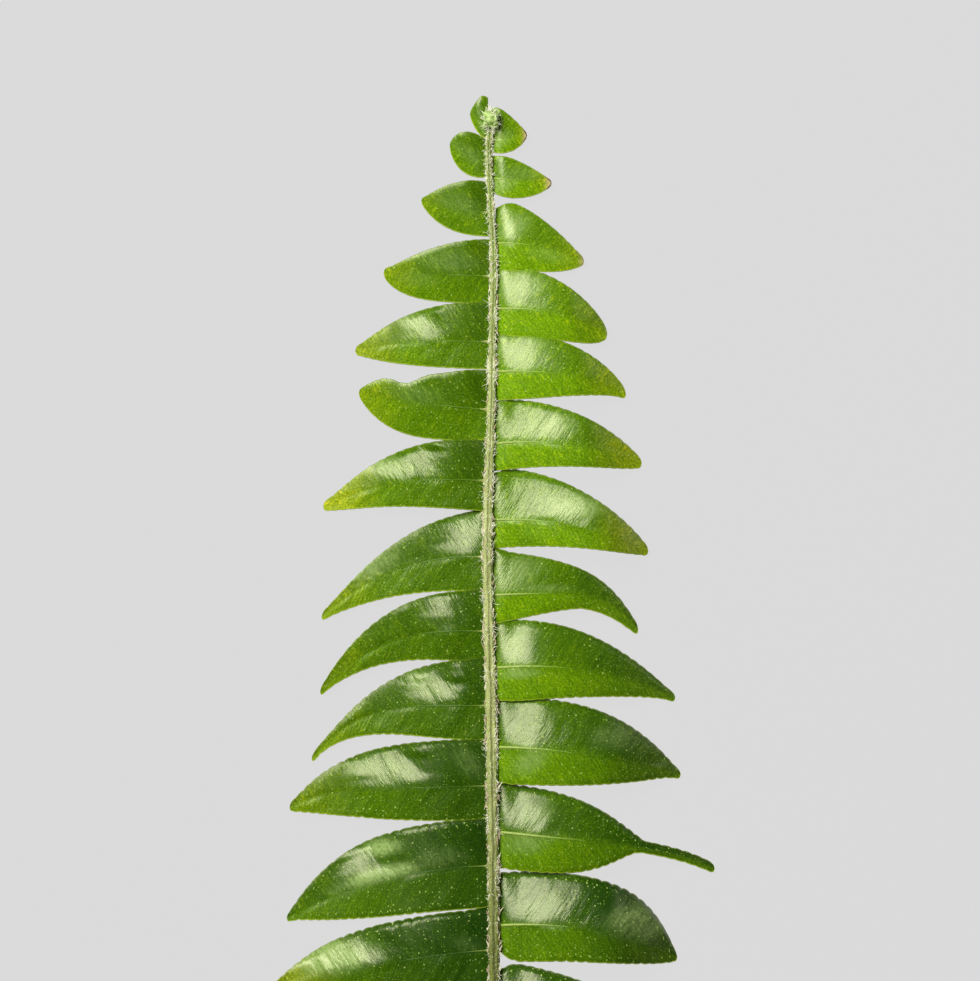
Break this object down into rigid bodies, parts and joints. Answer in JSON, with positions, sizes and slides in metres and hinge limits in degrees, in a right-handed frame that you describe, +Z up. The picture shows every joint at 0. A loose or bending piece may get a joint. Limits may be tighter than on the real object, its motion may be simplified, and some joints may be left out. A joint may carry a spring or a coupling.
{
  "type": "fern frond",
  "caption": "Upper part of a sword fern frond with arched, scalloped pinnae set alternately on a grooved rachis, a rolled tip and a cut stipe, lying flat.",
  "frame": {"origin": "on the surface that the frond lies on, under the middle of its box", "axes": "+Y along the rachis from the cut stipe to the rolled tip, +X across to the frond's right side seen from above, +Z up out of its face"},
  "size_m": [0.0562, 0.1604, 0.0056],
  "materials": {
    "fern_green": "satin"
  },
  "bodies": {
    "root": {"frond": "fern_green"}
  },
  "joints": []
}
